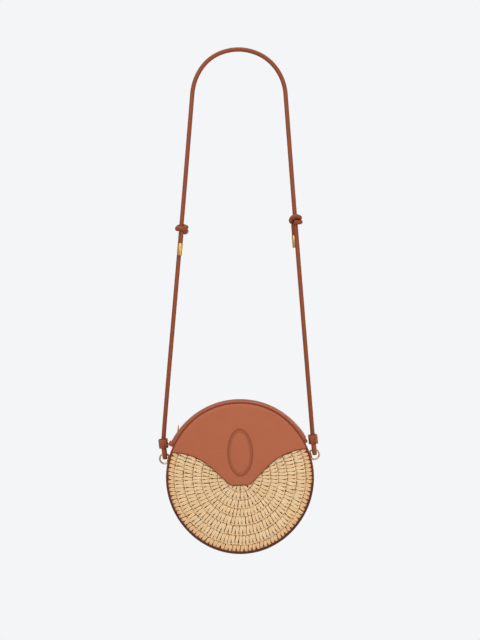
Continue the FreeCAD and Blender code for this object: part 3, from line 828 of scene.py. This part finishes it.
# Slider and pull
# A brass slider: two plates joined by a wedge that parts the teeth, a bail bent over the upper plate, and
# a flat pull that hangs in the bail by its slotted end.
pull_pivot = Vector(joints["pull_flip"]["pos_m"])
pivot_on_bag = hang.inverted() @ pull_pivot
pivot_height = math.hypot(pivot_on_bag.x, pivot_on_bag.z)
on_slider = hang @ Matrix.Rotation(math.atan2(pivot_on_bag.x, pivot_on_bag.z), 4, "Y")
plate_size = (0.0100, 0.0088, 0.0012)
plate_heights = (0.0839, 0.0875)
plate_rounding = 0.0004
wedge_size = (0.0035, 0.0006, 0.0030)
wedge_place = (0.0045, 0, sum(plate_heights) / 2)
wedge_rounding = 0.0001
bail_radius = 0.0019
bail_wire = 0.0009
bail_flatness = 1.3
pull_stations = (-0.00065, 0.00065, 0.00375, 0.006, 0.009, 0.0125, 0.016)
pull_width = 0.006
pull_slot = 0.0029
pull_thickness = 0.0013
pull_rounding = 0.0016
sharp_rounding = 0.0003


def round_off(bm, geom, offset, segments, affect="EDGES"):
    """Round off edges or corners."""
    bmesh.ops.bevel(bm, geom=geom, offset=offset, segments=segments, affect=affect, profile=0.5, material=-1)


def make_block(bm, size, centre, rounding):
    """A block with eased edges."""
    block = bmesh.ops.create_cube(bm, matrix=sized(centre, size))
    edges = [edge for edge in bm.edges if edge.verts[0] in block["verts"]]
    round_off(bm, edges, rounding, segments=3)


def turn_whole(bm, axis, steps, middle=(0, 0, 0)):
    """Turn a drawn section right round an axis, and close it."""
    section = bm.verts[:] + bm.edges[:]
    bmesh.ops.spin(bm, geom=section, cent=middle, axis=axis, angle=2 * math.pi, steps=steps, use_merge=True)
    bmesh.ops.remove_doubles(bm, verts=bm.verts, dist=1e-7)
    bmesh.ops.recalc_face_normals(bm, faces=bm.faces)


def points_in(geom):
    """The points among what an operator has made."""
    return [item for item in geom if isinstance(item, bmesh.types.BMVert)]


def ease_edges(piece, width):
    """Round off the sharp edges of a finished piece."""
    eased = piece.modifiers.new("eased", "BEVEL")
    eased.width = width
    eased.segments = 2
    eased.limit_method = "ANGLE"


slider = bmesh.new()
for height in plate_heights:
    make_block(slider, plate_size, (0, 0, height), plate_rounding)
make_block(slider, wedge_size, wedge_place, wedge_rounding)
bail = bmesh.new()
bail_place = sized((bail_radius, 0, pivot_height), (1, bail_flatness, 1))
bmesh.ops.create_circle(bail, segments=10, radius=bail_wire, matrix=bail_place)
turn_whole(bail, (0, -1, 0), steps=28, middle=(0, 0, pivot_height))
bail_mesh = bpy.data.meshes.new("bail")
bail.to_mesh(bail_mesh)
bail.free()
slider.from_mesh(bail_mesh)
bpy.data.meshes.remove(bail_mesh)
set_in_place(slider, "zip_slider", "slider", "brass", brass, nodes=["slider_body"], place=on_slider)

pull_low, pull_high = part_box("slider_pull")
pull_reach = (pull_low + pull_high) / 2 - pull_pivot
pull_turn = Matrix.Rotation(math.atan2(pull_reach.x, pull_reach.z), 4, "Y")
pull = bmesh.new()
bmesh.ops.create_grid(pull, x_segments=3, y_segments=len(pull_stations) - 1, size=0.5)
slot = [face for face in pull.faces if (face.calc_center_median() - Vector((0, -0.25, 0))).length < 0.1]
bmesh.ops.delete(pull, geom=slot, context="FACES_ONLY")
for vert in pull.verts:
    width = 3 * pull_slot if abs(vert.co.x) < 0.3 else pull_width
    station = round((vert.co.y + 0.5) * (len(pull_stations) - 1))
    vert.co = (vert.co.x * width, 0, pull_stations[station])
corners = [vert for vert in pull.verts if len(vert.link_edges) == 2]
round_off(pull, corners, pull_rounding, segments=4, affect="VERTICES")
shell = bmesh.ops.extrude_face_region(pull, geom=pull.faces[:])["geom"]
bmesh.ops.translate(pull, verts=points_in(shell), vec=(0, pull_thickness, 0))
bmesh.ops.translate(pull, verts=pull.verts, vec=(0, -pull_thickness / 2, 0))
bmesh.ops.recalc_face_normals(pull, faces=pull.faces)
bmesh.ops.rotate(pull, verts=pull.verts, matrix=Matrix.Rotation(math.pi / 2, 3, "Z"))
pull_piece = set_in_place(
    pull, "zip_pull", "pull", "brass", brass, nodes=["slider_pull"],
    place=Matrix.Translation(pull_pivot) @ pull_turn,
)
ease_edges(pull_piece, sharp_rounding)


# Tabs and rings
# At each end of the zip a folded bit of leather covers the tapes. Below it a leather loop, sewn flat to
# the gusset fore and aft, holds a brass ring for the strap.
tab_foot = panel_radius + 0.0001
zip_tab_size = (0.005, 0.013)
zip_tab_heights = {"left": 0.0088, "right": 0.0058}
zip_tab_fold = 0.0022
zip_tab_edge = 0.0004
sharp_angle = 1.0
ring_tab_size = (0.006, 0.018)
ring_tab_wall = 0.0010
ring_tab_hump = 0.0034
hump_top = 0.14
hump_fall = 0.3
ring_wire = 0.0011
ring_radius = 0.0062


def turn_on_bag(place):
    """The turn round the bag that brings its top to a place on the gusset."""
    on_bag = hang.inverted() @ place
    return hang @ Matrix.Rotation(math.atan2(on_bag.x, on_bag.z), 4, "Y")


for name in ("left", "right"):
    low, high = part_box(f"zip_end_tab_{name}")
    halfway = tab_foot + zip_tab_heights[name] / 2
    tab = bmesh.new()
    bmesh.ops.create_cube(tab, matrix=sized((0, 0, halfway), (*zip_tab_size, zip_tab_heights[name])))
    top = [edge for edge in tab.edges if all(vert.co.z > halfway for vert in edge.verts)]
    along = [edge for edge in top if abs(edge.verts[0].co.y - edge.verts[1].co.y) > 1e-4]
    round_off(tab, along, zip_tab_fold, segments=5)
    rims = [edge for edge in tab.edges if edge.calc_face_angle(0) > sharp_angle]
    round_off(tab, rims, zip_tab_edge, segments=2)
    set_in_place(tab, f"zip_tab_{name}", "bag", "leather", tan_leather, nodes=[f"zip_end_tab_{name}"],
                 place=turn_on_bag((low + high) / 2))

    ring_middle = Vector(joints[f"ring_{name}_turn"]["pos_m"])
    loop = bmesh.new()
    bmesh.ops.create_grid(loop, x_segments=6, y_segments=36, size=0.5)
    for vert in loop.verts:
        hump = ring_tab_hump * ease(1 - (abs(vert.co.y * 2) - hump_top) / hump_fall)
        vert.co = (vert.co.x * ring_tab_size[0], vert.co.y * ring_tab_size[1], tab_foot + hump)
    face_towards(loop, Vector((0, 0, 1)))
    loop_piece = set_in_place(loop, f"ring_loop_{name}", "bag", "leather", tan_leather,
                              nodes=[f"ring_tab_{name}"], place=turn_on_bag(ring_middle))
    thicken(loop_piece, ring_tab_wall, offset=1)
    ease_edges(loop_piece, sharp_rounding)

    wire = bmesh.new()
    wire_place = Matrix.Translation((ring_radius, 0, 0))
    bmesh.ops.create_circle(wire, segments=14, radius=ring_wire, matrix=wire_place)
    turn_whole(wire, (0, -1, 0), steps=56)
    set_in_place(wire, f"brass_ring_{name}", f"ring_{name}", "brass", brass, nodes=[f"ring_{name}"],
                 place=Matrix.Translation(ring_middle))


# Strap
# A rolled leather cord, hung over a peg at the origin. Each end is flattened, turned through its ring and
# held back on itself by a leather keeper that is lapped and sewn down the front.
strap_radius = 0.00275
left_knot = Vector((-0.0709, 0, -0.2203))
right_knot = Vector((0.0705, 0, -0.2095))
strap_arch = [
    (-0.0588, 0, -0.0713), (-0.0558, 0, -0.0344), (-0.0353, 0, -0.0054), (0, 0, 0.0055),
    (0.0353, 0, -0.0054), (0.0572, 0, -0.0344), (0.0600, 0, -0.0713),
]
left_foot = Vector(joints["ring_left_turn"]["pos_m"]) + bag_up * ring_radius
right_foot = Vector(joints["ring_right_turn"]["pos_m"]) + bag_up * ring_radius
legs = {"left": (left_foot, left_knot), "right": (right_foot, right_knot)}
strap_end_lean = math.radians(6)
fold_radius = 0.00395
fold_slack = 1.28
end_wall = 0.0035
end_rounding = 0.0014
keeper_size = (0.0112, 0.0140, 0.0107)
keeper_start = 0.0074
keeper_top = keeper_start + keeper_size[2]
keeper_rounding = 0.0034
keeper_wall = 0.0012
slit_width = 0.0006
slit_place = 0.0016
slit_depth = 0.0007
end_top = keeper_top - 0.0008
cord_start = keeper_start + 0.006
keeper_stitch_shares = (0.2, 0.5, 0.8)
keeper_stitch_half = (0.0010, 0.0003, 0.0004)
strap_leather = make_leather(
    "strap_leather", dye(143, 72, 40), dye(108, 51, 27), shine=0.45, dullness=0.58
)
keeper_leather = make_leather(
    "keeper_leather", dye(160, 85, 54), dye(126, 62, 39), shine=0.42, dullness=0.56
)
dark_thread = make_cloth("dark_thread", dye(84, 46, 28), dye(58, 30, 18), thread=0.00008)


def put_in_order(bm):
    """Number a shape's points, edges and faces by place, so that its edges are eased the same each time."""
    slant = Vector((1, 3, 10))
    bm.verts.sort(key=lambda vert: vert.co.dot(slant))
    bm.edges.sort(key=lambda edge: (edge.verts[0].co + edge.verts[1].co).dot(slant))
    bm.faces.sort(key=lambda face: face.calc_center_median().dot(slant))


def hang_cord(name, curve, *nodes):
    """Hang a cord of the strap's leather on the strap."""
    curve.materials.append(strap_leather)
    cord = bring_in(name, curve)
    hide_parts(*nodes)
    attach(cord, "strap")
    return cord


along_end = {}
for name, (foot, knot) in legs.items():
    along_end[name] = Matrix.Translation(foot) @ Matrix.Rotation(-strap_end_lean, 4, "Y")
    end = bmesh.new()
    flat = sized((0, -fold_radius, 0), (2 * strap_radius, end_wall, 1))
    bmesh.ops.create_grid(end, x_segments=1, y_segments=1, size=0.5, matrix=flat)
    round_off(end, end.verts[:], end_rounding, segments=4, affect="VERTICES")
    bmesh.ops.delete(end, geom=end.faces[:], context="FACES_ONLY")
    leg_rim = end.edges[:]
    turned = bmesh.ops.spin(end, geom=end.verts[:] + end.edges[:], axis=(1, 0, 0), angle=math.pi, steps=18)
    for rim in (leg_rim, [item for item in turned["geom_last"] if isinstance(item, bmesh.types.BMEdge)]):
        raised = bmesh.ops.extrude_edge_only(end, edges=rim)["geom"]
        bmesh.ops.translate(end, verts=points_in(raised), vec=(0, 0, end_top))
    bmesh.ops.holes_fill(end, edges=[edge for edge in end.edges if edge.is_boundary])
    for vert in end.verts:
        vert.co.z *= fold_slack if vert.co.z < 0 else 1
    bmesh.ops.recalc_face_normals(end, faces=end.faces)
    set_in_place(end, f"strap_loop_{name}", "strap", "strap_leather", keeper_leather,
                                     nodes=[f"strap_end_{name}"], place=along_end[name])

    keeper = bmesh.new()
    bmesh.ops.create_cube(keeper, matrix=sized((0, 0, keeper_start + keeper_size[2] / 2), keeper_size))
    upright = [edge for edge in keeper.edges if abs(edge.verts[0].co.z - edge.verts[1].co.z) > 1e-4]
    round_off(keeper, upright, keeper_rounding, segments=6)
    ends = [face for face in keeper.faces if abs(face.normal.z) > 0.9]
    bmesh.ops.delete(keeper, geom=ends, context="FACES")
    for lap in (slit_place - slit_width / 2, slit_place + slit_width / 2):
        whole = keeper.verts[:] + keeper.edges[:] + keeper.faces[:]
        bmesh.ops.bisect_plane(keeper, geom=whole, plane_co=(lap, 0, 0), plane_no=(1, 0, 0))
    slit = [vert for vert in keeper.verts if abs(vert.co.x - slit_place) < slit_width and vert.co.y < 0]
    slit_faces = [face for face in keeper.faces if all(vert in slit for vert in face.verts)]
    groove = bmesh.ops.extrude_face_region(keeper, geom=slit_faces)["geom"]
    bmesh.ops.translate(keeper, verts=points_in(groove), vec=(0, slit_depth, 0))
    bmesh.ops.recalc_face_normals(keeper, faces=keeper.faces)
    outward = [face.normal.dot(face.calc_center_median() * Vector((1, 1, 0))) for face in keeper.faces]
    if sum(outward) < 0:
        bmesh.ops.reverse_faces(keeper, faces=keeper.faces)
    put_in_order(keeper)
    sleeve = set_in_place(keeper, f"strap_keeper_{name}", "strap", "strap_leather", keeper_leather,
                          nodes=[f"keeper_{name}"], place=along_end[name])
    thicken(sleeve, keeper_wall, offset=-1)
    ease_edges(sleeve, sharp_rounding)

    sewn = bmesh.new()
    for share in keeper_stitch_shares:
        middle = (slit_place, -keeper_size[1] / 2, keeper_start + share * keeper_size[2])
        place = sized(middle, keeper_stitch_half)
        bmesh.ops.create_uvsphere(sewn, u_segments=8, v_segments=5, radius=1, matrix=place)
    set_in_place(sewn, f"keeper_stitches_{name}", "strap", "strap_leather", dark_thread,
                                     place=along_end[name])

strap_route = [
    along_end["left"] @ Vector((0, 0, cord_start)), along_end["left"] @ Vector((0, 0, keeper_top)),
    left_knot, *strap_arch, right_knot,
    along_end["right"] @ Vector((0, 0, keeper_top)), along_end["right"] @ Vector((0, 0, cord_start)),
]
strap_curve = draw_cord("strap_cord", [strap_route], strap_radius, sides=4, steps=16)
strap_cord = hang_cord("strap_cord", strap_curve, "strap_left", "strap_top", "strap_right")


# Knots
# Where the strap's length is set, its spare end is brought round the leg, wound twice about it and tucked
# in, and hangs a little below the knot with a brass tip crimped on.
tail_radius = 0.0025
tails = {"left": (0.0012, -0.0059), "right": (-0.0026, 0.0054)}
tail_drops = (-0.0290, -0.0160, -0.0085, -0.0035)
knot_turns = (
    (0.0024, 0.0058, 0.0006), (0.0060, 0.0038, 0.0024), (0.0062, -0.0024, 0.0028),
    (-0.0002, -0.0062, 0.0050), (-0.0048, -0.0042, 0.0022), (-0.0052, 0.0018, -0.0004),
    (-0.0036, 0.0074, -0.0006), (0.0016, 0.0090, -0.0004), (0.0064, 0.0058, -0.0018),
    (0.0068, -0.0004, -0.0028), (0.0034, -0.0056, -0.0034), (-0.0012, -0.0054, -0.0026),
)
knot_girths = (1.1, 1.15, 1.15, 1.15, 1.15, 1.15, 1.3, 1.3, 1.15, 1.15, 1.15, 1.1)
ferrule_radius = 0.00305
ferrule_bore = ferrule_radius - 0.0005
ferrule_chamfer = 0.0008
ferrule_top = -0.0182
ferrule_foot = ferrule_top - 0.0155
ferrule_socket = 0.004
ferrule_rounding = 0.0002
tip_brass = make_brass("tip_brass", dye(188, 153, 90), dye(158, 121, 64))

for name, (foot, knot) in legs.items():
    run = knot - along_end[name] @ Vector((0, 0, keeper_top))
    place = Matrix.Translation(knot) @ Matrix.Rotation(math.atan2(run.x, run.z), 4, "Y")
    tail_across, tail_depth = tails[name]
    tail = [(tail_across, tail_depth, drop) for drop in tail_drops]
    wound = [(across, math.copysign(depth, depth * tail_depth), up) for across, depth, up in knot_turns]
    knot_route = [place @ Vector(point) for point in tail + wound]
    winding = draw_cord(f"knot_{name}_cord", [knot_route], tail_radius, sides=4, steps=10)
    for point, girth in zip(winding.splines[0].points[len(tail):], knot_girths):
        point.radius = girth
    hang_cord(f"strap_knot_{name}", winding, f"knot_{name}", f"tail_{name}")

    tip = bmesh.new()
    profile = (
        (0, ferrule_foot), (ferrule_radius - ferrule_chamfer, ferrule_foot),
        (ferrule_radius, ferrule_foot + ferrule_chamfer), (ferrule_radius, ferrule_top),
        (ferrule_bore, ferrule_top), (ferrule_bore, ferrule_top - ferrule_socket),
    )
    verts = [tip.verts.new((radius, 0, height)) for radius, height in profile]
    for first, second in zip(verts, verts[1:]):
        tip.edges.new((first, second))
    turn_whole(tip, (0, 0, 1), steps=32)
    tip_piece = set_in_place(tip, f"brass_tip_{name}", "strap", "brass", tip_brass,
                             nodes=[f"ferrule_{name}"],
                             place=place @ Matrix.Translation((tail_across, tail_depth, 0)))
    ease_edges(tip_piece, ferrule_rounding)


# Studio
# A plain pale floor well below the bag, a pale surround, soft lamps in front, above and behind, and the
# camera at the height of the middle of the strap, level and square to the bag.
surround = dye(244, 245, 247)
floor_height = -1.25
floor_half = (2.4, 2.4)
floor_middle = (0, -1.0)
view_place = (0.002, -1.1042, -0.33325)

floor = bmesh.new()
floor_place = sized((*floor_middle, floor_height), (*floor_half, 1))
bmesh.ops.create_grid(floor, x_segments=1, y_segments=1, size=1, matrix=floor_place)
floor_mesh = bpy.data.meshes.new("floor")
floor.to_mesh(floor_mesh)
floor.free()
paper = new_finish("floor_paper", Base_Color=surround, Roughness=0.9, Specular_IOR_Level=0.1)[0]
floor_mesh.materials.append(paper)
bring_in("floor", floor_mesh)

world = bpy.data.worlds.new("studio")
world.use_nodes = True
sky = world.node_tree
seen = sky.nodes["Background"]
seen.inputs["Color"].default_value = surround
ambient = lay_node(sky, "ShaderNodeBackground", {"Color": dye(250, 250, 252), "Strength": 0.32})
path = lay_node(sky, "ShaderNodeLightPath").outputs
shown = path["Is Camera Ray"]
for ray in ("Is Glossy Ray", "Is Transmission Ray"):
    shown = reckon(sky, "MAXIMUM", shown, path[ray])
choice = lay_node(sky, "ShaderNodeMixShader", {0: shown, 1: ambient.outputs[0], 2: seen.outputs[0]})
sky.links.new(choice.outputs[0], sky.nodes["World Output"].inputs["Surface"])
scene = bpy.context.scene
scene.world = world

for name, place, aim, size, power in (
    ("key", (-0.7, -1.7, 0.75), (0, 0, -0.4), 1.1, 21),
    ("fill", (1.2, -1.8, -0.2), (0, 0, -0.4), 1.3, 12),
    ("top", (0.1, -0.3, 1.3), (0, 0, -0.45), 0.9, 8),
    ("behind", (0.7, 1.8, -0.55), (0, 0, -0.45), 1.2, 16),
):
    lamp = bpy.data.lights.new(name, "AREA")
    lamp.shape = "DISK"
    lamp.size = size
    lamp.energy = power
    lamp_piece = bring_in(name, lamp)
    lamp_piece.location = place
    lamp_piece.rotation_euler = (Vector(aim) - Vector(place)).to_track_quat("-Z", "Y").to_euler()

camera = bpy.data.cameras.new("camera")
camera.lens = 50
camera.sensor_width = 36
camera_piece = bring_in("camera", camera)
camera_piece.location = view_place
camera_piece.rotation_euler = (math.pi / 2, 0, 0)
scene.camera = camera_piece
scene.view_settings.view_transform = "Standard"

bpy.context.view_layer.update()
